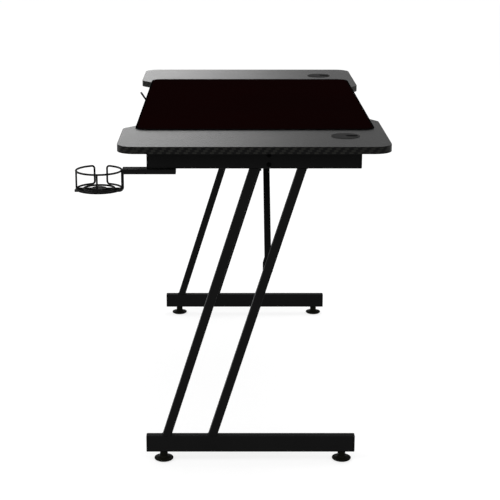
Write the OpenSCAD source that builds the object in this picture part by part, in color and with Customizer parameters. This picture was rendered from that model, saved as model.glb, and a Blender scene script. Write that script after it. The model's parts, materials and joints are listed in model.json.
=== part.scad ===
// Gaming desk with leaning Z legs, a waisted top, a big mouse mat,
// cable grommets, a wire cup holder and a headphone hook.
// Lengths are in millimetres. +Z is up, +X runs along the desk and +Y points to its back.

/* [Desktop] */
// Length of the desktop along X
desk_l = 1200; // [1000:10:1600]
// Depth of the desktop at its wings along Y
desk_w = 600; // [560:5:700]
// Height of the desktop's top face above the floor
desk_h = 748; // [680:1:800]
// Thickness of the board
board_t = 16; // [15:0.5:25]
// Thickness of the plastic edge band
band_t = 1; // [0.6:0.1:2]
// Radius of the four outer corners
corner_r = 40; // [20:1:60]
// Length of each wing along the front edge
front_wing = 225; // [180:1:260]
// Length of each wing along the back edge
back_wing = 318; // [250:1:340]
// How far the front waist is cut in
front_waist = 30; // [15:1:50]
// How far the back waist is cut in
back_waist = 21; // [12:1:40]
// Run of the slanted shoulder between wing and waist
shoulder_run = 36; // [30:1:50]
// Rounding radius of the shoulders
shoulder_r = 26; // [10:1:32]

/* [Mouse mat] */
// Distance of the mat from the desktop's left end
mat_left = 210; // [170:0.5:300]
// Distance of the mat from the desktop's right end
mat_right = 202; // [170:0.5:300]
// Distance of the mat from the wings' front edge
mat_front = 29; // [5:0.5:80]
// Distance of the mat from the wings' back edge
mat_back = 19.5; // [5:0.5:80]
// Thickness of the mat
mat_t = 2; // [2:0.5:5]
// Radius of the mat's corners
mat_r = 30; // [8:1:40]

/* [Cable grommets] */
// Diameter of the hole in the board
grommet_hole = 60; // [50:1:70]
// Width of the rim that lies on the board round the hole
grommet_lip = 2.2; // [2:0.1:6]
// Thickness of that rim
grommet_rim_t = 1; // [0.6:0.1:2]
// Wall of the liner and of the turning cap
grommet_wall = 2; // [1.6:0.1:3]
// Depth of the cap's seat below the rim
grommet_seat = 8; // [6:0.5:10]
// Width of the cable slot in the cap
slot_w = 18; // [8:0.5:20]
// Distance from the cap's middle to the centre of the slot's round end
slot_y = 9.7; // [6:0.1:14]
// Distance of the grommets from the desktop's ends
grommet_in = 127; // [100:1:150]
// Distance of the grommets from the back edge
grommet_back = 94; // [70:0.5:120]

/* [End frames] */
// Height of the rectangular beams
beam_h = 40; // [35:1:60]
// Width of the beams and of the leaning tubes
beam_w = 20; // [20:1:30]
// Wall of all steel tubes
wall = 1.2; // [1:0.1:2]
// Outer corner radius of the steel tubes
edge_r = 2.5; // [2:0.1:4]
// Distance of the beams' outer face from the desktop's end
frame_in = 37.7; // [30:0.1:80]
// Length of the top beam with its caps
top_beam_l = 472; // [440:1:520]
// Length of the foot beam with its caps
foot_beam_l = 482.5; // [460:0.5:540]
// Offset of the foot beam's middle towards the front
foot_beam_dy = 5.25; // [0:0.05:12]
// Thickness of the caps that stand out of the beams' ends
cap_t = 6; // [3:0.5:8]
// Size of the square leaning tubes along Y
leg_w = 20; // [18:1:25]
// Where the front tube meets the top beam, from the desktop's centre line
front_leg_y = 0; // [-20:0.5:20]
// Distance between the two leaning tubes along Y
leg_pitch = 105.6; // [90:0.1:130]
// How far a leaning tube runs forward from the top beam to the foot beam
leg_lean = 198.7; // [170:0.1:210]

/* [Cross rail and braces] */
// Place of the cross rail behind the desktop's centre line
rail_y = 32; // [25:0.5:50]
// Thickness of the rail's end plates and of the brace plates
plate_t = 3; // [2:0.5:5]
// Distance between the two bolts of each rail end
bolt_pitch = 21; // [18:0.5:24]
// Size of the square brace tube
brace_w = 15; // [12:0.5:20]
// Width of the brace's end plates
brace_plate_w = 23; // [21:0.5:30]
// How far the brace's middle meets the cross rail from the end frame
brace_reach = 212; // [120:1:260]
// Distance of the brace bolt from the middle of the brace's end
brace_bolt_drop = 18.5; // [18:0.5:24]

/* [Levellers] */
// Height of the foot beams above the floor
floor_gap = 21.7; // [20:0.1:30]
// Distance between the front and the back leveller of one foot beam
leveller_pitch = 413; // [360:1:430]
// Diameter of the leveller's pad
pad_d = 44.4; // [36:0.2:50]
// Diameter of the flat under the pad
pad_flat_d = 28; // [22:0.5:32]
// Height of the pad's dome
pad_h = 11.5; // [9:0.1:13]
// Diameter of the neck above the pad
neck_d = 18; // [15:0.5:20]
// Diameter of the threaded stud
stud_d = 8; // [6:0.5:10]
// Height that the stud reaches into the foot beam
stud_reach = 30; // [24:0.5:32]

/* [Cup holder] */
// Distance of the cup's centre in front of the desktop
cup_out = 41.5; // [30:0.5:60]
// Radius of the wire rings to the middle of the wire
cup_r = 50; // [35:0.5:52]
// Height of the cup holder between its two outer rings
cup_h = 40.8; // [30:0.2:60]
// How far the middle of the upper ring's wire lies below the top beam
ring_drop = 4.8; // [3:0.1:6]
// Diameter of the bent wire
wire_d = 4.4; // [3:0.1:5]
// Diameter of the rod that carries the basket
rod_d = 6.4; // [5:0.1:7]
// Width of the gap for a mug's handle
handle_gap = 28; // [20:0.5:36]
// Bend radius of the wire beside that gap
wire_bend = 6; // [5:0.5:9]
// Radius of the second base ring
inner_ring_r = 34; // [26:0.5:36]
// Radius of the plate in the middle of the base
base_disc_r = 16.5; // [10:0.5:20]
// Width of the flat arm
arm_w = 34; // [28:0.5:40]
// Height of the flat arm
arm_h = 11; // [9:0.5:14]
// How far the arm stands out sideways from the middle of the beam
arm_dx = 2.2; // [0:0.1:6]
// How far the arm lies under the top beam
arm_lap = 64; // [50:1:80]
// Distance of the arm's front screw from the top beam's front end
arm_screw_in = 26; // [18:1:28]
// Distance of the arm's back screw from the arm's back end
arm_screw_end = 12; // [8:1:14]

/* [Headphone hook] */
// Diameter of the hook's rod
hook_d = 5.5; // [4:0.5:6]
// Width of the hook's mounting plate
hook_plate_w = 20; // [16:0.5:24]
// Length of the hook's mounting plate
hook_plate_l = 66; // [60:1:80]
// Length of the hook's rod that is welded under the plate
hook_weld_l = 25; // [15:1:27]
// Distance of the hook's front screw behind that weld
hook_screw_gap = 13; // [10:1:14]
// Distance of the hook's back screw from the plate's back end
hook_screw_end = 10; // [7:1:12]
// Distance from the front of the top beam to the hook's vertical leg
hook_out = 31.5; // [25:0.5:45]
// Height from the hook's rod at the plate down to the seat's bend centre
hook_drop = 25; // [20:0.5:40]
// Inner bend of the hook's seat, to the middle of the rod
hook_bend = 14; // [12:0.5:20]
// Length of the hook's straight tip
hook_tip = 40; // [25:0.5:50]
// Angle of the tip above the horizontal
hook_angle = 56; // [45:1:70]

/* [Fasteners] */
// Thread diameter of the bolts at the rail and braces
bolt_d = 6; // [5:0.5:8]
// Head diameter of those bolts
bolt_head_d = 10; // [9:0.5:12]
// Diameter of the wood screws and arm screws
screw_d = 4; // [3.5:0.1:5]
// Distance of the front wood screw from the top beam's front end
front_screw_in = 90; // [82:1:120]
// Distance of the back wood screw from the top beam's back end
back_screw_in = 40; // [30:1:80]
// Distance of the rail's wood screws from the desktop's middle
rail_screw_x = 198; // [60:1:260]
// Diameter of the hole that lets a screwdriver into a tube
driver_hole_d = 10; // [9:0.5:12]
// Gap all round a fastener in its hole
hole_gap = 0.15; // [0.1:0.05:0.5]
// Gap all round a piece that turns or slides in its seat
run_gap = 0.08; // [0.05:0.01:0.1]

/* [Hidden] */
SIDES = [-1, 1];
ENDS = [-1, 1];
$fn = 48;
eps = 0.01;

// Facets round a wire
wire_fn = 16;

// A bend is this much thinner than the straight rods that it joins, and they reach this far into it
bend_thin = 0.02;
bend_lap = 0.05;

steel = "#1c1c1c";
plastic = "#161616";

// Heights
board_z = desk_h - board_t;
beam_z = board_z - beam_h;
foot_top_z = floor_gap + beam_h;

// The end frames
frame_x = desk_l / 2 - frame_in - beam_w / 2;
inner_x = frame_x - beam_w / 2;
leg_rise = beam_z - foot_top_z;
leg_angle = atan(leg_lean / leg_rise);
leg_l = leg_rise / cos(leg_angle);
beam_front_y = -top_beam_l / 2;
foot_front_y = -foot_beam_l / 2 - foot_beam_dy;
foot_back_y = foot_beam_l / 2 - foot_beam_dy;
rear_leg_y = front_leg_y + leg_pitch;
screw_ys = [
    beam_front_y + front_screw_in,
    (rail_y + rear_leg_y) / 2,
    -beam_front_y - back_screw_in
];

// The braces: the bolt meets the rear tube where that tube crosses the rail's line
brace_bolt_z = beam_z - (rear_leg_y - rail_y) * leg_rise / leg_lean;
brace_z = brace_bolt_z + brace_bolt_drop;
rail_joint_x = inner_x - brace_reach;
brace_rise = beam_z - brace_z;
brace_angle = atan2(brace_rise, brace_reach);
brace_l = norm([brace_rise, brace_reach]);

// The cup holder
arm_x = frame_x + arm_dx;
arm_z = beam_z - arm_h;
cup_y = -desk_w / 2 - cup_out;
arm_front_y = cup_y + cup_r + wire_d / 2;
arm_back_y = beam_front_y + arm_lap;
ring_z = beam_z - ring_drop;
base_z = ring_z - cup_h;
weld_sink = 0.4;
rod_z = base_z - (wire_d + rod_d) / 2 + weld_sink;
rod_bend = 8;
rod_stub = 2;
rod_proud = 0.5;
spoke_d = wire_d * 0.95;
gap_angle = asin(handle_gap / 2 / norm([cup_r, wire_bend])) + atan(wire_bend / cup_r);
arm_screw_ys = [beam_front_y + arm_screw_in, arm_back_y - arm_screw_end];
rod_y = arm_front_y - rod_proud;
rod_tip_y = cup_y - cup_r - wire_d / 2 - rod_stub;

// The headphone hook
hook_x = -frame_x;
hook_rod_z = beam_z - plate_t - hook_d / 2 + weld_sink;
hook_leg_y = beam_front_y - hook_out;
hook_upper_bend = 10;
hook_screw_ys = [
    beam_front_y + hook_weld_l + hook_screw_gap,
    beam_front_y + hook_plate_l - hook_screw_end
];

// The grommets
liner_gap = 0.3;
liner_r = grommet_hole / 2 - liner_gap;
seat_r = liner_r - grommet_wall;
throat_r = seat_r - grommet_wall;
rim_r = grommet_hole / 2 + grommet_lip;

// Fasteners and levellers
nut_d = bolt_d * 1.9;
nut_h = 5;
screw_bite = 11;
pilot_spare = 0.5;
insert_d = stud_d + 3;
socket_d = stud_d + 2;
socket_z = 5;
neck_gap = 0.3;

// The origin lies on the floor under the middle of everything, the cup holder included
end_x = max(desk_l / 2, arm_x + cup_r + wire_d / 2);
origin_x = (desk_l / 2 - end_x) / 2;
origin_y = -(desk_w / 2 + rod_tip_y) / 2;

// Moves a shape drawn from the desktop's centre to the origin
module seated() {
    translate([origin_x, origin_y, 0]) children();
}

function unit(v) = v / norm(v);
function cross2(a, b) = a.x * b.y - a.y * b.x;

// Points of the arc that rounds corner p between its neighbours
function corner_arc(before, p, after, r, n = 8) =
    let (
        u = unit(before - p),
        v = unit(after - p),
        half = acos(u * v) / 2,
        centre = p + unit(u + v) * r / sin(half),
        start = p + u * r / tan(half) - centre,
        sweep = (180 - 2 * half) * (cross2(p - before, after - p) > 0 ? 1 : -1)
    )
    [for (i = [0 : n]) centre + rotated(start, sweep * i / n)];

function rotated(v, a) = [v.x * cos(a) - v.y * sin(a), v.x * sin(a) + v.y * cos(a)];

// Outline with rounded corners, from counter-clockwise points [x, y, radius]
function rounded_outline(c, n = 8) =
    let (last = len(c))
    [for (i = [0 : last - 1])
        for (q = corner_arc(xy(c[(i + last - 1) % last]), xy(c[i]), xy(c[(i + 1) % last]), c[i][2], n)) q];

function xy(p) = [p[0], p[1]];

// The same outline drawn in by d, with its arcs kept concentric
function drawn_in(c, d) =
    let (last = len(c))
    [for (i = [0 : last - 1])
        let (
            p = xy(c[i]),
            a = unit(p - xy(c[(i + last - 1) % last])),
            b = unit(xy(c[(i + 1) % last]) - p),
            na = [-a.y, a.x],
            nb = [-b.y, b.x],
            q = p + (na + nb) * d / (1 + na * nb)
        )
        [q.x, q.y, c[i][2] - d * sign(cross2(a, b))]];

function rectangle(w, h, r) =
    [[-w / 2, -h / 2, r], [w / 2, -h / 2, r], [w / 2, h / 2, r], [-w / 2, h / 2, r]];

// The desktop's outline: two wings joined by a narrower waist
function desktop_corners() =
    let (
        x = desk_l / 2,
        y = desk_w / 2,
        fx = x - front_wing,
        bx = x - back_wing
    )
    [
        [-x, -y, corner_r],
        [-fx, -y, shoulder_r],
        [-fx + shoulder_run, -y + front_waist, shoulder_r],
        [fx - shoulder_run, -y + front_waist, shoulder_r],
        [fx, -y, shoulder_r],
        [x, -y, corner_r],
        [x, y, corner_r],
        [bx, y, shoulder_r],
        [bx - shoulder_run, y - back_waist, shoulder_r],
        [-bx + shoulder_run, y - back_waist, shoulder_r],
        [-bx, y, shoulder_r],
        [-x, y, corner_r]
    ];

module desktop_outline(d = 0) {
    polygon(rounded_outline(drawn_in(desktop_corners(), d), 10));
}

// A rectangular tube's section, as seen along the tube
module tube_section(w, h) {
    difference() {
        polygon(rounded_outline(rectangle(w, h, edge_r), 4));
        polygon(rounded_outline(rectangle(w - 2 * wall, h - 2 * wall, edge_r - wall), 4));
    }
}

// Turns an extrusion so that it runs along Y, with the section's x along X and y along Z
module along_y(length) {
    translate([0, length / 2, 0]) rotate([90, 0, 0]) linear_extrude(length) children();
}

// Turns an extrusion so that it runs along X, with the section's x along Y and y along Z
module along_x(length) {
    translate([-length / 2, 0, 0]) rotate([90, 0, 90]) linear_extrude(length) children();
}

// Desktop

module grommet_places() {
    for (side = SIDES) grommet_place(side) children();
}

module grommet_place(s) {
    translate([s * (desk_l / 2 - grommet_in), desk_w / 2 - grommet_back, desk_h]) children();
}

module board_screw_places() {
    for (side = SIDES)
        for (y = screw_ys) translate([side * frame_x, y, beam_z]) children();
    for (side = SIDES) translate([side * rail_screw_x, rail_y, beam_z]) children();
}

module desktop_board() {
    color("#3a3a3c") seated() difference() {
        translate([0, 0, board_z]) linear_extrude(board_t) desktop_outline(band_t);
        grommet_places() translate([0, 0, -board_t - 1]) cylinder(d = grommet_hole, h = board_t + 2);
        board_screw_places() translate([0, 0, beam_h - 1])
            cylinder(d = screw_d + 2 * hole_gap, h = 1 + screw_bite + pilot_spare);
    }
}

module edge_band() {
    color("#222222") seated() translate([0, 0, board_z]) linear_extrude(board_t) difference() {
        desktop_outline();
        desktop_outline(band_t);
    }
}

module mouse_mat() {
    mat_l = desk_l - mat_left - mat_right;
    mat_w = desk_w - mat_front - mat_back;
    color("#140303") seated()
        translate([(mat_left - mat_right) / 2, (mat_front - mat_back) / 2, desk_h])
            linear_extrude(mat_t) polygon(rounded_outline(rectangle(mat_l, mat_w, mat_r), 8));
}

// Cable grommets: a liner in the board and a cap that turns in it

module grommet_liner(s) {
    below = 4;
    depth = board_t + below;
    rim_round = 0.4;
    color(plastic) seated() grommet_place(s) rotate_extrude() polygon([
        [seat_r, grommet_rim_t],
        [rim_r - rim_round, grommet_rim_t],
        [rim_r, grommet_rim_t - rim_round],
        [rim_r, 0],
        [liner_r, 0],
        [liner_r, -depth],
        [throat_r, -depth],
        [throat_r, -grommet_seat],
        [seat_r, -grommet_seat]
    ]);
}

module grommet_cap(s) {
    cap_r = seat_r - run_gap;
    foot = -grommet_seat + 0.05;
    top_t = 1.6;
    color(plastic) seated() grommet_place(s) difference() {
        rotate_extrude() polygon([
            [0, grommet_rim_t],
            [cap_r - 0.5, grommet_rim_t],
            [cap_r, grommet_rim_t - 0.5],
            [cap_r, foot],
            [cap_r - grommet_wall, foot],
            [cap_r - grommet_wall, grommet_rim_t - top_t],
            [0, grommet_rim_t - top_t]
        ]);
        translate([0, slot_y, -grommet_seat - 1]) {
            cylinder(d = slot_w, h = grommet_seat + 4);
            translate([-slot_w / 2, 0, 0]) cube([slot_w, seat_r, grommet_seat + 4]);
        }
    }
}

// End frames

module bolt_holes_x(length) {
    for (dz = [-bolt_pitch / 2, bolt_pitch / 2])
        translate([-length / 2, rail_y, beam_z + beam_h / 2 + dz])
            rotate([0, 90, 0]) cylinder(d = bolt_d + 2 * hole_gap, h = length);
}

module top_beam(s) {
    color(steel) seated() translate([s * frame_x, 0, 0]) difference() {
        translate([0, 0, beam_z + beam_h / 2]) along_y(top_beam_l - 2 * cap_t) tube_section(beam_w, beam_h);
        bolt_holes_x(beam_w + 2);
        for (y = screw_ys) translate([0, y, beam_z]) {
            translate([0, 0, -1]) cylinder(d = driver_hole_d, h = wall + 2);
            translate([0, 0, beam_h - wall - 1]) cylinder(d = screw_d + 2 * hole_gap, h = wall + 2);
        }
        for (y = s > 0 ? arm_screw_ys : hook_screw_ys)
            translate([0, y, beam_z - 1]) cylinder(d = screw_d + 2 * hole_gap, h = wall + 2);
    }
}

module foot_beam(s) {
    color(steel) seated() difference() {
        translate([s * frame_x, -foot_beam_dy, floor_gap + beam_h / 2])
            along_y(foot_beam_l - 2 * cap_t) tube_section(beam_w, beam_h);
        for (e = ENDS) leveller_place(s, e) translate([0, 0, floor_gap - 1])
            cylinder(d = insert_d + 2 * hole_gap, h = wall + 2);
    }
}

// A leaning tube whose upper end meets the top beam at y
module leaning_tube(s, y) {
    intersection() {
        translate([s * frame_x, y, beam_z]) rotate([-leg_angle, 0, 0])
            translate([0, 0, -leg_l - leg_w]) linear_extrude(leg_l + 2 * leg_w)
                tube_section(beam_w, leg_w);
        translate([s * frame_x - beam_w, -desk_w, foot_top_z])
            cube([2 * beam_w, 2 * desk_w, leg_rise]);
    }
}

module front_leg(s) {
    color(steel) seated() leaning_tube(s, front_leg_y);
}

module rear_leg(s) {
    color(steel) seated() difference() {
        leaning_tube(s, rear_leg_y);
        translate([s * (inner_x + wall / 2), rail_y, brace_bolt_z]) rotate([0, 90, 0])
            cylinder(d = bolt_d + 2 * hole_gap, h = wall * 3, center = true);
    }
}

// A plastic cap: a rounded cover outside and a plug inside the tube, drawn for a front end
module beam_cap() {
    plug = 12;
    plug_wall = 2;
    plug_r = 1.2;
    fit = 0.2;
    inner_w = beam_w - 2 * wall - fit;
    inner_h = beam_h - 2 * wall - fit;
    crown = 1.5;
    difference() {
        translate([0, cap_t / 2, 0]) along_y(cap_t)
            polygon(rounded_outline(rectangle(beam_w, beam_h, edge_r), 4));
        for (sx = [-1, 1])
            translate([sx * beam_w / 2, 0, 0]) rotate([0, 0, 45])
                cube([crown * sqrt(2), crown * sqrt(2), beam_h + 2], center = true);
        for (sz = [-1, 1])
            translate([0, 0, sz * beam_h / 2]) rotate([45, 0, 0])
                cube([beam_w + 2, crown * sqrt(2), crown * sqrt(2)], center = true);
    }
    translate([0, cap_t + plug / 2 - eps, 0]) along_y(plug) difference() {
        polygon(rounded_outline(rectangle(inner_w, inner_h, plug_r), 3));
        polygon(rounded_outline(rectangle(inner_w - 2 * plug_wall, inner_h - 2 * plug_wall, plug_r), 3));
    }
}

module caps_of(front_y, back_y, z) {
    for (side = SIDES) translate([side * frame_x, 0, z]) {
        translate([0, front_y, 0]) beam_cap();
        translate([0, back_y, 0]) rotate([0, 0, 180]) beam_cap();
    }
}

module top_beam_caps() {
    color(plastic) seated() caps_of(beam_front_y, -beam_front_y, beam_z + beam_h / 2);
}

module foot_beam_caps() {
    color(plastic) seated() caps_of(foot_front_y, foot_back_y, floor_gap + beam_h / 2);
}

// Cross rail and braces

module cross_rail() {
    rail_l = 2 * inner_x;
    color(steel) seated() difference() {
        translate([0, rail_y, beam_z + beam_h / 2]) union() {
            along_x(rail_l) tube_section(beam_w, beam_h);
            for (side = SIDES) translate([side * (inner_x - plate_t / 2), 0, 0])
                along_x(plate_t) polygon(rounded_outline(rectangle(beam_w, beam_h, edge_r), 4));
        }
        for (side = SIDES) translate([side * inner_x, 0, 0]) bolt_holes_x(2 * plate_t + 1);
        for (side = SIDES) {
            translate([side * rail_screw_x, rail_y, beam_z]) {
                translate([0, 0, -1]) cylinder(d = driver_hole_d, h = wall + 2);
                translate([0, 0, beam_h - wall - 1]) cylinder(d = screw_d + 2 * hole_gap, h = wall + 2);
            }
            translate([side * (rail_joint_x - brace_bolt_drop), rail_y, beam_z - 1])
                cylinder(d = bolt_d + 2 * hole_gap, h = wall + 2);
        }
    }
}

// Brace plate in its own plane: x across, y from the tube's middle towards the bolt
module brace_plate() {
    tube_half = brace_w / 2 / cos(brace_angle) + 1;
    shoulder = 2;
    full_width_y = 4;
    bolt_margin = 7;
    bolt_end = brace_bolt_drop + bolt_margin;
    linear_extrude(plate_t) difference() {
        polygon([
            [-brace_w / 2, -tube_half],
            [brace_w / 2, -tube_half],
            [brace_w / 2, -tube_half + shoulder],
            [brace_plate_w / 2, full_width_y],
            [brace_plate_w / 2, bolt_end],
            [-brace_plate_w / 2, bolt_end],
            [-brace_plate_w / 2, full_width_y],
            [-brace_w / 2, -tube_half + shoulder]
        ]);
        translate([0, brace_bolt_drop]) circle(d = bolt_d + 2 * hole_gap);
    }
}

// The brace on the right, or its mirror image on the left
module knee_brace(s) {
    color(steel) seated() mirror([s > 0 ? 0 : 1, 0, 0]) {
        intersection() {
            translate([inner_x, rail_y, brace_z]) rotate([0, brace_angle - 90, 0])
                translate([0, 0, -2 * brace_w]) linear_extrude(brace_l + 4 * brace_w)
                    tube_section(brace_w, brace_w);
            translate([0, rail_y - brace_w, foot_top_z])
                cube([inner_x - plate_t / 2, 2 * brace_w, leg_rise - plate_t / 2]);
        }
        translate([inner_x - plate_t, rail_y, brace_z]) rotate([0, 90, 0]) rotate([0, 0, -90]) brace_plate();
        translate([rail_joint_x, rail_y, beam_z - plate_t]) rotate([0, 0, 90]) brace_plate();
    }
}

// Fasteners, each drawn with its head's seat at z = 0, the shank up and the head below

module bolt(length) {
    head_h = bolt_d * 0.55;
    difference() {
        union() {
            cylinder(d = bolt_d, h = length);
            rotate_extrude() polygon([
                [0, -head_h],
                [bolt_head_d * 0.28, -head_h],
                [bolt_head_d * 0.42, -head_h * 0.75],
                [bolt_head_d / 2, -head_h * 0.25],
                [bolt_head_d / 2, 0],
                [0, 0]
            ]);
        }
        translate([0, 0, -head_h - 1]) linear_extrude(head_h * 0.6 + 1) circle(d = bolt_d * 0.75, $fn = 6);
    }
}

module nut() {
    linear_extrude(nut_h) difference() {
        circle(d = nut_d, $fn = 6);
        circle(d = bolt_d + 2 * hole_gap);
    }
}

module screw(length) {
    head_h = screw_d * 0.6;
    difference() {
        union() {
            cylinder(d = screw_d, h = length - screw_d);
            translate([0, 0, length - screw_d]) cylinder(d1 = screw_d, d2 = 1, h = screw_d);
            rotate_extrude() polygon([
                [0, -head_h],
                [screw_d * 0.7, -head_h],
                [screw_d, -head_h * 0.4],
                [screw_d, 0],
                [0, 0]
            ]);
        }
        for (a = [0, 90]) rotate([0, 0, a])
            translate([-screw_d / 2, -0.4, -head_h - 1]) cube([screw_d, 0.8, head_h * 0.5 + 1]);
    }
}

// Places of the rail's bolts on the right beam's outer face, pointing inwards
module rail_bolt_places(x) {
    for (side = SIDES) mirror([side > 0 ? 0 : 1, 0, 0])
        for (dz = [-bolt_pitch / 2, bolt_pitch / 2])
            translate([x, rail_y, beam_z + beam_h / 2 + dz]) rotate([0, -90, 0]) children();
}

module rail_bolts() {
    color(steel) seated() rail_bolt_places(frame_x + beam_w / 2) bolt(beam_w + plate_t + nut_h + 1);
}

module rail_nuts() {
    color(steel) seated() rail_bolt_places(inner_x - plate_t) nut();
}

// Places where a brace's bolts enter: its leg plate, and the rail plate from below
module brace_bolt_places(gap) {
    for (side = SIDES) mirror([side > 0 ? 0 : 1, 0, 0]) {
        translate([inner_x + gap, rail_y, brace_bolt_z]) rotate([0, 90, 0]) children();
        translate([rail_joint_x - brace_bolt_drop, rail_y, beam_z + gap]) children();
    }
}

module brace_bolts() {
    color(steel) seated() brace_bolt_places(-plate_t) bolt(plate_t + wall + nut_h + 1);
}

module brace_nuts() {
    color(steel) seated() brace_bolt_places(wall) nut();
}

module board_screws() {
    color(steel) seated() board_screw_places() translate([0, 0, beam_h - wall]) screw(wall + screw_bite);
}

// Levellers: a pad, a threaded stud that turns in it and an insert in the foot beam

module leveller_place(s, e) {
    translate([s * frame_x, e * leveller_pitch / 2, 0]) children();
}

module leveller_inserts() {
    barrel = 14;
    flange_w = 2;
    flange_t = 1;
    color(steel) seated() for (side = SIDES, end = ENDS)
        leveller_place(side, end) translate([0, 0, floor_gap]) difference() {
            union() {
                cylinder(d = insert_d, h = barrel);
                translate([0, 0, wall]) cylinder(d = insert_d + 2 * flange_w, h = flange_t);
            }
            translate([0, 0, -1]) cylinder(d = stud_d + 2 * run_gap, h = barrel + 2);
        }
}

module leveller_pad(s, e) {
    rim_z = 4.3;
    rim_top_z = 6;
    lip_t = 1.1;
    lip_draft = 0.3;
    rim_r = pad_d / 2;
    flare_r = rim_r - 1.7;
    under = [for (i = [0 : 5]) let (a = i * 18)
        [pad_flat_d / 2 + (rim_r - pad_flat_d / 2) * sin(a), rim_z * (1 - cos(a))]];
    flare = [for (i = [0 : 7]) let (a = i * 90 / 7)
        [flare_r - (flare_r - neck_d / 2) * sin(a), pad_h - (pad_h - rim_top_z) * cos(a)]];
    color(plastic) seated() leveller_place(s, e) rotate_extrude() polygon(concat(
        [[0, 0]],
        under,
        [[rim_r - lip_draft, rim_z + lip_t]],
        flare,
        [[socket_d / 2, pad_h], [socket_d / 2, socket_z], [0, socket_z]]
    ));
}

module leveller_stud(s, e) {
    foot_d = socket_d - 2 * run_gap;
    seat = 0.1;
    color(plastic) seated() leveller_place(s, e) {
        translate([0, 0, socket_z + seat]) cylinder(d = foot_d, h = pad_h - socket_z);
        translate([0, 0, pad_h + seat]) cylinder(d = neck_d, h = floor_gap - pad_h - seat - neck_gap);
        translate([0, 0, pad_h]) cylinder(d = stud_d, h = floor_gap - pad_h + stud_reach);
    }
}

// Bent rods, drawn in the XY plane

module rod_run(p, heading, length, d) {
    translate([p.x, p.y, 0]) rotate([0, 0, heading]) rotate([0, 90, 0])
        translate([0, 0, -bend_lap]) cylinder(d = d, h = length + 2 * bend_lap, $fn = wire_fn);
}

module rod_turn(centre, r, from, sweep, d) {
    translate([centre.x, centre.y, 0]) rotate([0, 0, from])
        rotate_extrude(angle = sweep) translate([r, 0]) circle(d = d - bend_thin, $fn = wire_fn);
}

// Stands such a rod up in the YZ plane: x becomes Y and y becomes Z
module upright() {
    rotate([90, 0, 90]) children();
}

// A quarter bend that starts along +X at the origin and ends heading down
module bend_down(r, d) {
    translate([0, 0, -r]) rotate([0, -90, -90])
        rotate_extrude(angle = 90) translate([r, 0]) circle(d = d - bend_thin, $fn = wire_fn);
}

// Cup holder: one wire bent into the two outer rings, three more carriers and a rod welded under it

module outer_wire() {
    end_angle = 180 - gap_angle;
    ring_angle = end_angle + asin(bend_lap / cup_r);
    for (z = [base_z, ring_z])
        translate([0, 0, z]) rotate([0, 0, -ring_angle])
            rotate_extrude(angle = 2 * ring_angle) translate([cup_r, 0]) circle(d = wire_d, $fn = wire_fn);
    for (m = [0, 1]) mirror([0, m, 0]) rotate([0, 0, end_angle]) translate([cup_r, 0, 0])
        rotate([0, 0, 90]) {
            translate([0, 0, ring_z]) bend_down(wire_bend, wire_d);
            translate([0, 0, base_z]) mirror([0, 0, 1]) bend_down(wire_bend, wire_d);
            translate([wire_bend, 0, base_z + wire_bend - bend_lap])
                cylinder(d = wire_d, h = cup_h - 2 * (wire_bend - bend_lap), $fn = wire_fn);
        }
}

module cup_base() {
    disc_t = wire_d * 0.7;
    rotate_extrude() translate([inner_ring_r, 0]) circle(d = wire_d, $fn = wire_fn);
    translate([0, 0, -disc_t / 2]) cylinder(r = base_disc_r, h = disc_t);
    rod_run([0, -cup_r], 90, 2 * cup_r, spoke_d);
}

module cup_basket() {
    color(steel) seated() difference() {
        union() {
            translate([arm_x, cup_y, 0]) {
                outer_wire();
                translate([0, 0, base_z]) cup_base();
                for (a = [0, -90]) rotate([0, 0, a]) translate([cup_r, 0, base_z])
                    cylinder(d = spoke_d, h = ring_z - base_z, $fn = wire_fn);
            }
            translate([arm_x, 0, 0]) upright() {
                rod_run([rod_tip_y, rod_z], 0, rod_y - rod_bend - rod_tip_y, rod_d);
                rod_turn([rod_y - rod_bend, rod_z + rod_bend], rod_bend, -90, 90, rod_d);
                rod_run([rod_y, rod_z + rod_bend], 90, ring_z - rod_z - rod_bend, rod_d);
            }
        }
        translate([arm_x - arm_w / 2, arm_front_y, arm_z]) cube([arm_w, arm_w, arm_h * 2]);
    }
}

module cup_arm() {
    length = arm_back_y - arm_front_y;
    closed = 2;
    color(steel) seated() difference() {
        translate([arm_x, (arm_front_y + arm_back_y) / 2, arm_z + arm_h / 2]) difference() {
            along_y(length) polygon(rounded_outline(rectangle(arm_w, arm_h, edge_r), 4));
            along_y(length - 2 * closed)
                polygon(rounded_outline(rectangle(arm_w - 2 * wall, arm_h - 2 * wall, edge_r - wall), 4));
        }
        for (y = arm_screw_ys) translate([frame_x, y, arm_z - 1])
            cylinder(d = screw_d + 2 * hole_gap, h = arm_h + 2);
    }
}

module cup_arm_screws() {
    color(steel) seated() for (y = arm_screw_ys)
        translate([frame_x, y, arm_z]) screw(arm_h + wall + 6);
}

// Headphone hook: a bent rod welded under a plate

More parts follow.
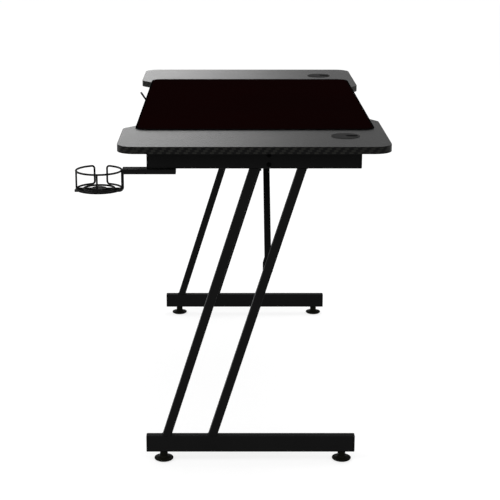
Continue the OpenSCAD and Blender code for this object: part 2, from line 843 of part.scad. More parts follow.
module headphone_hook() {
    seat_z = hook_rod_z - hook_drop;
    sweep = 90 + hook_angle;
    seat = [hook_leg_y - hook_bend, seat_z];
    tip = seat + hook_bend * [cos(sweep), -sin(sweep)];
    weld_end = beam_front_y + hook_weld_l;
    elbow_y = hook_leg_y + hook_upper_bend;
    color(steel) seated() {
        translate([hook_x, 0, 0]) upright() {
            rod_run([elbow_y, hook_rod_z], 0, weld_end - elbow_y, hook_d);
            rod_turn([elbow_y, hook_rod_z - hook_upper_bend], hook_upper_bend, 90, 90, hook_d);
            rod_run([hook_leg_y, seat_z], 90, hook_drop - hook_upper_bend, hook_d);
            rod_turn(seat, hook_bend, -sweep, sweep, hook_d);
            rod_run(tip, 180 - hook_angle, hook_tip, hook_d);
        }
        difference() {
            translate([hook_x, beam_front_y + hook_plate_l / 2, beam_z - plate_t]) linear_extrude(plate_t)
                polygon(rounded_outline(rectangle(hook_plate_w, hook_plate_l, 4), 4));
            for (y = hook_screw_ys) translate([hook_x, y, beam_z - plate_t - 1])
                cylinder(d = screw_d + 2 * hole_gap, h = plate_t + 2);
        }
    }
}

module hook_screws() {
    color(steel) seated() for (y = hook_screw_ys)
        translate([hook_x, y, beam_z - plate_t]) screw(plate_t + wall + 6);
}

desktop_board();
edge_band();
mouse_mat();
grommet_liner(-1);  // grommet_liner_left
grommet_liner(1);  // grommet_liner_right
grommet_cap(-1);  // grommet_cap_left
grommet_cap(1);  // grommet_cap_right
top_beam(-1);  // top_beam_left
top_beam(1);  // top_beam_right
foot_beam(-1);  // foot_beam_left
foot_beam(1);  // foot_beam_right
front_leg(-1);  // front_leg_left
front_leg(1);  // front_leg_right
rear_leg(-1);  // rear_leg_left
rear_leg(1);  // rear_leg_right
top_beam_caps();
foot_beam_caps();
cross_rail();
knee_brace(-1);  // knee_brace_left
knee_brace(1);  // knee_brace_right
rail_bolts();
rail_nuts();
brace_bolts();
brace_nuts();
board_screws();
leveller_inserts();
leveller_pad(-1, -1);  // leveller_pad_front_left
leveller_pad(-1, 1);  // leveller_pad_back_left
leveller_pad(1, -1);  // leveller_pad_front_right
leveller_pad(1, 1);  // leveller_pad_back_right
leveller_stud(-1, -1);  // leveller_stud_front_left
leveller_stud(-1, 1);  // leveller_stud_back_left
leveller_stud(1, -1);  // leveller_stud_front_right
leveller_stud(1, 1);  // leveller_stud_back_right
cup_basket();
cup_arm();
cup_arm_screws();
headphone_hook();
hook_screws();
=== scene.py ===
# %% [markdown]
# # A gaming desk with leaning legs
# This lesson dresses a imported CAD model of a desk. The model already holds every piece at its
# real size: the board, the steel frame, the wire cup holder and the hook. Our work is the
# surface of things: laminate, a printed edge band, powder coat, moulded plastic, weld beads and
# the mat's cloth. First we load the model. Nothing may grow past it.

# %% Load the model
import json
import math

import bmesh
import bpy
from mathutils import Matrix, Vector


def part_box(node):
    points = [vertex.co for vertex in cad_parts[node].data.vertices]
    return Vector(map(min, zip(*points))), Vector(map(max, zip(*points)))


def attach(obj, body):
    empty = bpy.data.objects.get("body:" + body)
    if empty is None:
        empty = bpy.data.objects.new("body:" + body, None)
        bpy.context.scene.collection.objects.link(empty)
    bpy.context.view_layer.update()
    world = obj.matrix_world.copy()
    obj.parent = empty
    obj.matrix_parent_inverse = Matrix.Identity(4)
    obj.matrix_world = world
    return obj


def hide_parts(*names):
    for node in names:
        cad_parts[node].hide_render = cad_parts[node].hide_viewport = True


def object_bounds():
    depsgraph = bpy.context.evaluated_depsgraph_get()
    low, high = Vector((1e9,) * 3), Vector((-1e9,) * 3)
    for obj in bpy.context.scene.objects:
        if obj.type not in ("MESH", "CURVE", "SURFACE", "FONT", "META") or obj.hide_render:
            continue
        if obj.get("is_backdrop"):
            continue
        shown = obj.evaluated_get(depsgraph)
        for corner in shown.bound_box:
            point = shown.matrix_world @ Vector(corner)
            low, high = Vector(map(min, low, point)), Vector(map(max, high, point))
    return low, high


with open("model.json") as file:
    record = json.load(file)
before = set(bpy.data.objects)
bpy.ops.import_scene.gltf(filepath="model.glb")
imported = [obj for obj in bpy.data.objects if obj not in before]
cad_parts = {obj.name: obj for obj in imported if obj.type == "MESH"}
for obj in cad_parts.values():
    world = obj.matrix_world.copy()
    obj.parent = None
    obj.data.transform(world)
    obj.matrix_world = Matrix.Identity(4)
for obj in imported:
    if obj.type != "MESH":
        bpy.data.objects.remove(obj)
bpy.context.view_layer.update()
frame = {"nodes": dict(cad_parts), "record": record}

nodes = frame["nodes"]

# %% [markdown]
# ## The camera
# The photograph looks along the desk from its cup-holder end, a little above the top. It was
# taken with a long lens from far away, and then cropped off its middle. We could turn the camera
# to bring the crop to the centre, but that would tilt the upright edges, so we look straight
# along the desk and use a small sideways shift, as a technical camera does.

# %% Place the camera
MM = 0.001
PHOTO_SIDE = 500
SENSOR = 36.0
FOCAL_PIXELS = 1381.1
CENTRE_COLUMN = 227.1
CAMERA_TILT = 0.2681
CAMERA_FROM_MIDDLE = Vector((3.5266, -0.0595, 0.5739))

top_low, top_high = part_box("edge_band")
board_middle = Vector(((top_low.x + top_high.x) / 2, (top_low.y + top_high.y) / 2, top_high.z))

camera_data = bpy.data.cameras.new("camera")
camera_data.sensor_width = SENSOR
camera_data.lens = FOCAL_PIXELS / PHOTO_SIDE * SENSOR
camera_data.shift_x = (PHOTO_SIDE / 2 - CENTRE_COLUMN) / PHOTO_SIDE
camera_data.clip_start = 0.05
camera = bpy.data.objects.new("camera", camera_data)
camera.location = board_middle + CAMERA_FROM_MIDDLE
camera.rotation_euler = (math.pi / 2 - CAMERA_TILT, 0, math.pi / 2)
bpy.context.scene.collection.objects.link(camera)
bpy.context.scene.camera = camera
print("lens", round(camera_data.lens, 1), "mm, shift", round(camera_data.shift_x, 4))

# %% [markdown]
# ## Helpers for materials
# A colour in a picture is written as an sRGB hex value, but Blender's sockets want linear light,
# so one function turns one into the other. A second one adds a node, sets it and links it, a third
# one starts a material, and a fourth one plugs a finished pattern into its shader. Every moulded,
# sprayed, pressed or plated skin is duller in one place than in another, so a last one makes its
# roughness drift in clouds about its usual value.


# %% Colour and node helpers
def linear(hex_colour):
    """An sRGB hex colour such as "1a2b3c" as linear red, green, blue and full alpha."""
    channels = [int(hex_colour[i:i + 2], 16) / 255 for i in (0, 2, 4)]
    light = [c / 12.92 if c <= 0.04045 else ((c + 0.055) / 1.055) ** 2.4 for c in channels]
    return (*light, 1.0)


def add(tree, kind, inputs=None, **settings):
    """Adds a node, sets its options, and fills or links its inputs."""
    made = tree.nodes.new(kind)
    for name, value in settings.items():
        setattr(made, name, value)
    for name, value in (inputs or {}).items():
        if isinstance(value, bpy.types.NodeSocket):
            tree.links.new(value, made.inputs[name])
        else:
            made.inputs[name].default_value = value
    return made


def start_material(name, colour, roughness, level):
    """A new material with its constants on the shader, and its Object coordinates."""
    material = bpy.data.materials.new(name)
    material.use_nodes = True
    tree = material.node_tree
    shader = tree.nodes["Principled BSDF"]
    shader.inputs["Base Color"].default_value = linear(colour)
    shader.inputs["Roughness"].default_value = roughness
    shader.inputs["Specular IOR Level"].default_value = level
    place = add(tree, "ShaderNodeTexCoord")
    return material, tree, shader, place.outputs["Object"]


def finish_with(tree, shader, links):
    """Links sockets of a finished pattern to the shader's own, by name."""
    for name, socket in links.items():
        tree.links.new(socket, shader.inputs[name])


def uneven_gloss(tree, shader, place, cloud_mm, detail, spread):
    """Lets the shader's roughness drift by a spread in soft clouds, and returns the clouds."""
    clouds = {"Vector": place, "Scale": 1 / (cloud_mm * MM), "Detail": detail}
    clouds = add(tree, "ShaderNodeTexNoise", clouds).outputs["Fac"]
    usual = shader.inputs["Roughness"].default_value
    rough = {"Value": clouds, "To Min": usual - spread, "To Max": usual + spread}
    rough = add(tree, "ShaderNodeMapRange", rough)
    finish_with(tree, shader, {"Roughness": rough.outputs["Result"]})
    return clouds


print("a mid grey of 80 in hex is", round(linear("808080")[0], 3), "in linear light")

# %% [markdown]
# ## Powder coat for the steel
# The frame is tube, welded and then sprayed with dry black powder, which melts in the oven to a
# skin with a faint orange peel. It gives the eye a deep, even black with a soft sheen along
# every rounded edge. Real peel has lumps of half a millimetre; they are drawn at one millimetre
# so that a close view shows them. A dull resin reflects less than clear gloss does, so the
# specular level is far under the usual half. Clouds of a hand's width vary its black a little.

# %% Powder coat
PEEL_MM = 1.0
PEEL_DEPTH_MM = 0.05
COAT_CLOUD_MM = 111


def powder_coat():
    material, tree, shader, place = start_material(
        "black powder coat", "181818", roughness=0.48, level=0.02)
    peel = {"Vector": place, "Scale": 1 / (PEEL_MM * MM), "Detail": 2.0}
    peel = add(tree, "ShaderNodeTexNoise", peel).outputs["Fac"]
    bump = add(tree, "ShaderNodeBump", {"Height": peel, "Distance": PEEL_DEPTH_MM * MM})
    tone = uneven_gloss(tree, shader, place, COAT_CLOUD_MM, detail=3.0, spread=0.06)
    mix = {"Factor": tone, "A": linear("151515"), "B": linear("1b1b1b")}
    mix = add(tree, "ShaderNodeMix", mix, data_type="RGBA").outputs["Result"]
    finish_with(tree, shader, {"Base Color": mix, "Normal": bump.outputs["Normal"]})
    return material


steel_coat = powder_coat()
print(steel_coat.name, "with a peel of", PEEL_MM, "mm")

# %% [markdown]
# ## Moulded plastic
# Tube caps, feet and cable grommets are injection moulded in polypropylene or ABS. The mould is
# spark-eroded, so the skin has a fine, even grain of little pits, and it mirrors no more than the
# powder coat does. The pits are a tenth of a millimetre; they are drawn at six tenths.

# %% Moulded plastic
PIT_MM = 0.6
PIT_DEPTH_MM = 0.04
PLASTIC_CLOUD_MM = 16.7


def moulded_plastic(name, colour, roughness, level):
    material, tree, shader, place = start_material(name, colour, roughness, level)
    pits = {"Vector": place, "Scale": 1 / (PIT_MM * MM)}
    pits = add(tree, "ShaderNodeTexVoronoi", pits).outputs["Distance"]
    bump = add(tree, "ShaderNodeBump", {"Height": pits, "Distance": PIT_DEPTH_MM * MM})
    uneven_gloss(tree, shader, place, PLASTIC_CLOUD_MM, detail=3.0, spread=0.05)
    finish_with(tree, shader, {"Normal": bump.outputs["Normal"]})
    return material


cap_plastic = moulded_plastic("polypropylene tube cap", "141414", roughness=0.5, level=0.02)
foot_plastic = moulded_plastic("polypropylene foot", "12120e", roughness=0.5, level=0.02)
grommet_plastic = moulded_plastic("moulded ABS grommet", "2e2e2e", roughness=0.6, level=0.005)
print(cap_plastic.name, "/", foot_plastic.name, "/", grommet_plastic.name)

# %% [markdown]
# ## Fasteners
# The outer bolts are hardened steel with a black oxide skin, which is nearly matt and hides the
# metal under it. The hidden nuts, screws and inserts are zinc plated and bright. Both skins are
# mottled in spots of a few millimetres.

# %% Fastener metals
MOTTLE_MM = 2.5


def plated_steel(name, colour, roughness, metallic, level):
    material, tree, shader, place = start_material(name, colour, roughness, level)
    shader.inputs["Metallic"].default_value = metallic
    uneven_gloss(tree, shader, place, MOTTLE_MM, detail=2.0, spread=0.06)
    return material


black_oxide = plated_steel("black oxide steel", "020202", roughness=0.6, metallic=0.0, level=0.02)
zinc_plate = plated_steel("zinc plated steel", "a9abaf", roughness=0.34, metallic=1.0, level=0.5)
print(black_oxide.name, "/", zinc_plate.name)

# %% [markdown]
# ## The carbon twill print
# The foil on the board and on its edge is printed like a carbon fibre cloth in 2/2 twill: each
# flat tow runs over two others and then under two, and each row starts one tow later, which
# draws stairs that climb to the right on the edge. We could paint stripes with a wave, but then
# the steps and the crossing tows would be missing, so the weave is worked out cell by cell: the
# column's number plus or minus the row's, modulo four, says which tow is on top. The stairs
# repeat every 18.8 millimetres along the edge, so a tow is 4.7 wide.
# Each tow's colour also gets a painted shade: lighter along its middle and darker at its sides, as
# light falls on its arch.

# %% Twill pattern
TOW_MM = 4.7
TOWS = 4.0
TOWS_OVER = 2.0


def twill(tree, place, climb):
    """For a place in metres: whether the crosswise tow is on top, and the arch of the top tow,
    which is its relief and its painted shade.
    """
    per_metre = 1 / (TOW_MM * MM)
    cells = {0: place, 1: (per_metre, per_metre, per_metre)}
    cells = add(tree, "ShaderNodeVectorMath", cells, operation="MULTIPLY")
    whole = add(tree, "ShaderNodeVectorMath", {0: cells.outputs[0]}, operation="FLOOR")
    part = add(tree, "ShaderNodeVectorMath", {0: cells.outputs[0]}, operation="FRACTION")
    number = add(tree, "ShaderNodeSeparateXYZ", {0: whole.outputs[0]})
    inside = add(tree, "ShaderNodeSeparateXYZ", {0: part.outputs[0]})
    row = add(tree, "ShaderNodeMath", {0: number.outputs["Y"], 1: climb}, operation="MULTIPLY")
    step = add(tree, "ShaderNodeMath", {0: number.outputs["X"], 1: row.outputs[0]}, operation="ADD")
    turn = add(tree, "ShaderNodeMath", {0: step.outputs[0], 1: TOWS}, operation="FLOORED_MODULO")
    # The turns are whole numbers from 0, so the limit lies half way between two of them.
    over = {0: turn.outputs[0], 1: TOWS_OVER - 0.5}
    over = add(tree, "ShaderNodeMath", over, operation="LESS_THAN")
    sides = {"Factor": over.outputs[0], "A": inside.outputs["X"], "B": inside.outputs["Y"]}
    across = add(tree, "ShaderNodeMix", sides, data_type="FLOAT").outputs["Result"]
    # The arch over the tow's width is 0 at its two sides and 1 at its middle; it is the tow's
    # relief and also its painted shade.
    middle = add(tree, "ShaderNodeMath", {0: across, 1: 0.5}, operation="SUBTRACT")
    square = add(tree, "ShaderNodeMath", {0: middle.outputs[0], 1: 2.0}, operation="POWER")
    crown_and_shade = {0: square.outputs[0], 1: -4.0, 2: 1.0}
    crown_and_shade = add(tree, "ShaderNodeMath", crown_and_shade, operation="MULTIPLY_ADD")
    return over.outputs[0], crown_and_shade.outputs[0]


print("the twill repeats every", TOWS * TOW_MM, "mm")

# %% [markdown]
# ## Laminate on the board
# The top is particle board under a melamine foil, pressed against a finely etched plate. It is
# almost black, but seen at a low angle its satin skin mirrors the room, and so it looks mid
# grey. Its print is the same twill as on the edge, with so little contrast that only a view
# from above shows it. The etched grain is a fifth of a millimetre; it is drawn at twice that.

# %% Laminate
ETCH_MM = 0.4
ETCH_DEPTH_MM = 0.02
LAMINATE_CLOUD_MM = 71.4


def melamine_laminate():
    material, tree, shader, place = start_material(
        "satin melamine laminate", "1f1f20", roughness=0.25, level=0.5)
    over, crown_and_shade = twill(tree, place, climb=1.0)
    # The tows on top get a painted shade: lighter along their middles, darker at their sides.
    lit = add(tree, "ShaderNodeMath", {0: over, 1: crown_and_shade}, operation="MULTIPLY").outputs[0]
    foil = {"Factor": lit, "A": linear("1b1b1b"), "B": linear("282828")}
    foil = add(tree, "ShaderNodeMix", foil, data_type="RGBA").outputs["Result"]
    etch = {"Vector": place, "Scale": 1 / (ETCH_MM * MM), "Detail": 2.0}
    etch = add(tree, "ShaderNodeTexNoise", etch).outputs["Fac"]
    bump = add(tree, "ShaderNodeBump", {"Height": etch, "Distance": ETCH_DEPTH_MM * MM})
    uneven_gloss(tree, shader, place, LAMINATE_CLOUD_MM, detail=4.0, spread=0.02)
    finish_with(tree, shader, {"Base Color": foil, "Normal": bump.outputs["Normal"]})
    return material


laminate = melamine_laminate()
print(laminate.name, "with an etch of", ETCH_MM, "mm")

# %% [markdown]
# ## The printed edge band
# The band is one millimetre of ABS, printed with the same twill at a higher contrast and sealed
# with a matt lacquer. The print follows the edge round the corners, so it reads the band's own
# UV map, where u is the way along the edge and v the height, both in metres.

# %% Edge band print
BAND_MAP = "along the edge"
BAND_START_MM = 6.2
TOW_RELIEF_MM = 0.05


def printed_band():
    material, tree, shader, _ = start_material(
        "twill printed ABS edge", "171716", roughness=0.42, level=0.05)
    along = add(tree, "ShaderNodeUVMap", uv_map=BAND_MAP)
    start = {"Vector": along.outputs["UV"], "Location": (BAND_START_MM * MM, 0, 0)}
    along = add(tree, "ShaderNodeMapping", start)
    over, crown_and_shade = twill(tree, along.outputs["Vector"], climb=-1.0)
    # Each tow gets a painted shade from its arch: lighter along its middle, darker at its sides.
    light = {"Factor": crown_and_shade, "A": linear("131312"), "B": linear("272725")}
    light = add(tree, "ShaderNodeMix", light, data_type="RGBA").outputs["Result"]
    dark = {"Factor": crown_and_shade, "A": linear("0a0a0a"), "B": linear("111111")}
    dark = add(tree, "ShaderNodeMix", dark, data_type="RGBA").outputs["Result"]
    weave = {"Factor": over, "A": dark, "B": light}
    weave = add(tree, "ShaderNodeMix", weave, data_type="RGBA").outputs["Result"]
    bump = add(tree, "ShaderNodeBump", {"Height": crown_and_shade, "Distance": TOW_RELIEF_MM * MM})
    finish_with(tree, shader, {"Base Color": weave, "Normal": bump.outputs["Normal"]})
    return material


band_print = printed_band()
print(band_print.name, "starts", BAND_START_MM, "mm along")

# %% [markdown]
# ## The mat's cloth
# The mat's top is a fine polyester knit, printed very dark red, with a dye that varies softly
# from one third of a metre to the next. Cloth has no mirror at all even at a low angle, so its
# specular level is nil. The knit's loops are half a millimetre; they are drawn at one. A wave
# texture runs through 20 radians in a unit, which its scale has to allow for.

# %% Knit
LOOP_MM = 1.0
LOOP_DEPTH_MM = 0.15
WAVE_RADIANS = 20
DYE_CLOUD_MM = 333


def knit_cloth():
    material, tree, shader, place = start_material(
        "printed polyester knit", "0d0303", roughness=0.95, level=0.0)
    loop = {"Vector": place, "Scale": math.tau / (WAVE_RADIANS * LOOP_MM * MM)}
    wale = add(tree, "ShaderNodeTexWave", loop).outputs["Fac"]
    course = add(tree, "ShaderNodeTexWave", loop, bands_direction="Y").outputs["Fac"]
    loops = add(tree, "ShaderNodeMath", {0: wale, 1: course}, operation="MULTIPLY").outputs[0]
    bump = add(tree, "ShaderNodeBump", {"Height": loops, "Distance": LOOP_DEPTH_MM * MM})
    dye = {"Vector": place, "Scale": 1 / (DYE_CLOUD_MM * MM), "Detail": 2.0}
    dye = add(tree, "ShaderNodeTexNoise", dye).outputs["Fac"]
    mix = {"Factor": dye, "A": linear("0a0303"), "B": linear("0f0303")}
    mix = add(tree, "ShaderNodeMix", mix, data_type="RGBA").outputs["Result"]
    finish_with(tree, shader, {"Base Color": mix, "Normal": bump.outputs["Normal"]})
    return material


cloth_finish = knit_cloth()
print(cloth_finish.name, "with loops of", LOOP_MM, "mm")

# %% [markdown]
# ## The mat's rubber and thread
# The knit is bonded on foamed natural rubber, whose cut edge is a grain of torn bubbles. The two
# are overlocked with black polyester thread, which is twisted from fibres too fine to show, so it
# gets a coarser fleck. Both are matt and nearly black.

# %% Rubber and thread
FOAM_CELL_MM = 0.5
FOAM_DEPTH_MM = 0.1
FIBRE_MM = 0.3
FIBRE_DEPTH_MM = 0.05


def foamed_rubber():
    material, tree, shader, place = start_material(
        "foamed natural rubber", "060606", roughness=0.9, level=0.05)
    cells = {"Vector": place, "Scale": 1 / (FOAM_CELL_MM * MM)}
    cells = add(tree, "ShaderNodeTexVoronoi", cells).outputs["Distance"]
    bump = add(tree, "ShaderNodeBump", {"Height": cells, "Distance": FOAM_DEPTH_MM * MM})
    finish_with(tree, shader, {"Normal": bump.outputs["Normal"]})
    return material


def sewing_thread():
    material, tree, shader, place = start_material(
        "black polyester thread", "030303", roughness=0.9, level=0.01)
    twist = {"Vector": place, "Scale": 1 / (FIBRE_MM * MM), "Detail": 2.0}
    twist = add(tree, "ShaderNodeTexNoise", twist).outputs["Fac"]
    bump = add(tree, "ShaderNodeBump", {"Height": twist, "Distance": FIBRE_DEPTH_MM * MM})
    finish_with(tree, shader, {"Normal": bump.outputs["Normal"]})
    return material


rubber_finish = foamed_rubber()
thread_finish = sewing_thread()
print(rubber_finish.name, "/", thread_finish.name)

# %% [markdown]
# ## Give the CAD pieces their finishes
# Every CAD piece gets the finish that the record's own list names for it. Only the material
# slot changes: the mesh itself is never touched.

# %% Assign finishes
FINISHES = {
    "laminate": laminate,
    "edge_band": band_print,
    "mat": cloth_finish,
    "grommet_plastic": grommet_plastic,
    "cap_plastic": cap_plastic,
    "foot_plastic": foot_plastic,
    "black_steel": steel_coat,
    "wire": steel_coat,
    "black_fastener": black_oxide,
    "zinc_steel": zinc_plate,
}
slot_of = {row["node"]: row["material_slot"] for row in frame["record"]["subparts"]}
bodies = frame["record"]["behaviour"]["bodies"]
body_of = {name: body for body, names in bodies.items() for name in names}
for name, piece in nodes.items():
    piece.data.materials.clear()
    piece.data.materials.append(FINISHES[slot_of[name]])
print(len(nodes), "CAD pieces have a finish")

# %% [markdown]
# ## From a bmesh to a finished piece
# A CAD mesh is a heap of loose triangles, each with its own corners, so a curve made of them
# shows its flats. For every piece whose curves matter we weld a copy, let coplanar triangles
# become one face, ease the sharp edges that a file or a mould would round, and shade it smooth.
# Weighted normals keep the large flats flat and leave the bending to the small faces.

# %% Piece helpers
WELD = 0.01 * MM
COPLANAR = math.radians(0.3)
SMOOTH_UNDER = math.radians(35)
SHARP_OVER = math.radians(50)


def finish_piece(work, name, finishes, slot, body):
    """Makes the bmesh an object that rides on a body, smooth where it bends gently."""
    mesh = bpy.data.meshes.new(name)
    work.to_mesh(mesh)
    work.free()
    for finish in finishes:
        mesh.materials.append(finish)
    mesh.shade_smooth()
    mesh.set_sharp_from_angle(angle=SMOOTH_UNDER)
    piece = bpy.data.objects.new(name, mesh)
    bpy.context.scene.collection.objects.link(piece)
    normals = piece.modifiers.new("weighted normals", "WEIGHTED_NORMAL")
    normals.keep_sharp = True
    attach(piece, body)
    return piece


def welded_copy(node):
    """A bmesh of a CAD piece with its corners merged and its flats joined up."""
    work = bmesh.new()
    work.from_mesh(nodes[node].data)
    bmesh.ops.remove_doubles(work, verts=work.verts, dist=WELD)
    bmesh.ops.dissolve_limit(work, angle_limit=COPLANAR, verts=work.verts, edges=work.edges)
    return work


def ease_edges(work, edges, width, segments=2):
    """Rounds some edges of a bmesh, this wide on both sides of each."""
    bmesh.ops.bevel(work, geom=edges, offset=width, affect="EDGES", segments=segments,
                    profile=0.5, material=-1, clamp_overlap=True)


def dressed(node, ease_mm):
    """Replaces a CAD piece with its welded copy, its sharp edges eased."""
    work = welded_copy(node)
    if ease_mm:
        edges = [e for e in work.edges if e.is_manifold and e.calc_face_angle() > SHARP_OVER]
        ease_edges(work, edges, ease_mm * MM)
    slot = slot_of[node]
    piece = finish_piece(work, "dressed_" + node, [FINISHES[slot]], slot, body_of[node])
    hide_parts(node)
    return piece


print("corners closer than", round(WELD / MM, 2), "mm become one")

# %% [markdown]
# ## Round the CAD pieces
# Tubes are only shaded smooth, since their ends are welded or capped. Caps, grommets and the flat
# arm also get a small round on their sharp edges. It stays under half of the shortest edge that it
# meets, because a bevel that is clamped there leaves triangles without any area.

# %% Dress the CAD pieces
SIDES = ("left", "right")
CORNERS = ("front_left", "back_left", "front_right", "back_right")
EASE_MM = {"top_beam_caps": 0.3, "foot_beam_caps": 0.3, "cup_arm": 0.4}
for side in SIDES:
    for tube in ("top_beam", "foot_beam", "front_leg", "rear_leg", "knee_brace"):
        EASE_MM[f"{tube}_{side}"] = 0.0
    EASE_MM[f"grommet_liner_{side}"] = 0.15
    EASE_MM[f"grommet_cap_{side}"] = 0.3
for corner in CORNERS:
    EASE_MM[f"leveller_pad_{corner}"] = 0.0
    EASE_MM[f"leveller_stud_{corner}"] = 0.0
for node in ("cross_rail", "cup_basket", "headphone_hook"):
    EASE_MM[node] = 0.0
for node, width in EASE_MM.items():
    piece = dressed(node, width)
    print(piece.name, len(piece.data.polygons), "faces")

# %% [markdown]
# ## The edge band as one long strip
# The band is a strip glued round the board. From a welded copy of the CAD band we keep only its
# outer wall and measure the way along it for the print. The next step gives the strip its
# thickness again. Its two outer edges are scraped round after gluing, and that round catches the
# light as a thin line along the top.

# %% Find the wall and measure it
def outer_wall(work):
    """Keeps only the faces of the outer wall, which reach furthest along the desk."""
    level = [f for f in work.faces if abs(f.normal.z) > 0.5]
    bmesh.ops.delete(work, geom=level, context="FACES")
    end = max(work.faces, key=lambda f: f.calc_center_median().x)
    found, ahead = {end}, [end]
    while ahead:
        for edge in ahead.pop().edges:
            fresh = [f for f in edge.link_faces if f not in found]
            found.update(fresh)
            ahead.extend(fresh)
    bmesh.ops.delete(work, geom=[f for f in work.faces if f not in found], context="FACES")


def measure_along(work):
    """Writes the way along the wall and the height into a UV map, and returns the whole way."""
    start = max(work.faces, key=lambda f: f.calc_area() * f.normal.x)
    layer = work.loops.layers.uv.new(BAND_MAP)
    low = min(v.co.z for v in work.verts)
    way, face, seen = 0.0, start, set()
    while face not in seen:
        seen.add(face)
        along = Vector((0, 0, 1)).cross(face.normal)
        first = min(face.verts, key=lambda v: v.co.dot(along)).co
        for loop in face.loops:
            offset = loop.vert.co - first
            loop[layer].uv = (way + Vector((offset.x, offset.y)).length, loop.vert.co.z - low)
        last = max(face.verts, key=lambda v: v.co.dot(along))
        way += Vector((last.co.x - first.x, last.co.y - first.y)).length
        onward = [f for f in last.link_faces if f is not face]
        face = onward[0] if onward else face
    return way


work = welded_copy("edge_band")
outer_wall(work)
way = measure_along(work)
print("the band is", round(way, 3), "metres long")

# %% [markdown]
# ## The band's thickness and its scraped edges
# The board ends where the band begins, so the difference of their boxes is the band's thickness.
# Solidify gives the wall that thickness inwards, and so the print stays on the outside. Only the
# level edges of the outer wall are then rounded.

# %% Edge band
BAND_ROUND_MM = 0.5
band_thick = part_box("desktop_board")[0].x - top_low.x
wall = set(work.verts)
bmesh.ops.solidify(work, geom=work.faces[:], thickness=band_thick)
rims = [e for e in work.edges if wall.issuperset(e.verts)]
rims = [e for e in rims if abs(e.verts[0].co.z - e.verts[1].co.z) < WELD]
ease_edges(work, rims, BAND_ROUND_MM * MM, segments=3)
band = finish_piece(work, "edge_band_strip", [band_print], "edge_band", "desk")
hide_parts("edge_band")
print("the band is", round(band_thick / MM, 2), "mm thick, with", len(rims), "rounded edges")

# %% [markdown]
# ## The mat: rubber, cloth and an overlocked edge
# A real mat of this kind is a sheet of foamed rubber with a knit bonded on it, cut out with
# round corners and then sewn over all round, so that the cloth can't fray. We build those three
# things. The cloth dips a little under the thread at its rim, which gives the mat its soft,
# pressed edge instead of a sharp cut.

# %% Mat slabs
CLOTH_MM = 0.5
RUBBER_IN_MM = 0.3
SEAM_MM = 3.6
PRESSED_MM = 0.25
MAT_ROUND_MM = 30
ROUND_STEPS = 12


def rounded_slab(low, high, radius):
    """A flat slab with round corners between two corners of a box."""
    work = bmesh.new()
    bmesh.ops.create_grid(work, x_segments=1, y_segments=1, size=0.5)
    bmesh.ops.scale(work, vec=(high.x - low.x, high.y - low.y, 1), verts=work.verts)
    centre = ((low.x + high.x) / 2, (low.y + high.y) / 2, low.z)
    bmesh.ops.translate(work, vec=centre, verts=work.verts)
    bmesh.ops.bevel(work, geom=work.verts[:], offset=radius, affect="VERTICES",
                    segments=ROUND_STEPS, profile=0.5, material=-1)
    raised = bmesh.ops.extrude_face_region(work, geom=work.faces[:], use_keep_orig=True)["geom"]
    raised = [v for v in raised if isinstance(v, bmesh.types.BMVert)]
    bmesh.ops.translate(work, vec=(0, 0, high.z - low.z), verts=raised)
    bmesh.ops.recalc_face_normals(work, faces=work.faces)
    return work


mat_low, mat_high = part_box("mouse_mat")
split = mat_high.z - CLOTH_MM * MM
inward = Vector((RUBBER_IN_MM, RUBBER_IN_MM, 0)) * MM
work = rounded_slab(mat_low + inward, Vector((*mat_high.xy, split)) - inward, MAT_ROUND_MM * MM)
rubber = finish_piece(work, "mat_rubber", [rubber_finish], "mat", "desk")

work = rounded_slab(Vector((*mat_low.xy, split)), mat_high, MAT_ROUND_MM * MM)
top = max(work.faces, key=lambda f: f.calc_center_median().z)
rim = bmesh.ops.inset_region(work, faces=[top], thickness=SEAM_MM * MM)["faces"]
for face in rim:
    face.material_index = 1
pressed = {v for f in rim for v in f.verts if v not in top.verts}
bmesh.ops.translate(work, vec=(0, 0, -PRESSED_MM * MM), verts=list(pressed))
cloth = finish_piece(work, "mat_cloth", [cloth_finish, thread_finish], "mat", "desk")
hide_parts("mouse_mat")
for slab in (cloth, rubber):
    print(slab.name, [round(v, 4) for v in slab.dimensions], "metres")

# %% [markdown]
# ## One overlock stitch
# The seam is one thread that comes up, runs over the rim and goes down again, some 1600 times.
# One stitch is drawn with a ring of five points that is pulled along and turned down by a spin.
# It has few faces, because there are so many. The mat is fed on while the thread crosses its rim,
# so each stitch slants.

# %% One stitch
THREAD_MM = 0.45
THREAD_SIDES = 5
BEND_MM = 0.5
RISE_MM = 0.2
TAIL_MM = 0.4
SLANT = 0.3


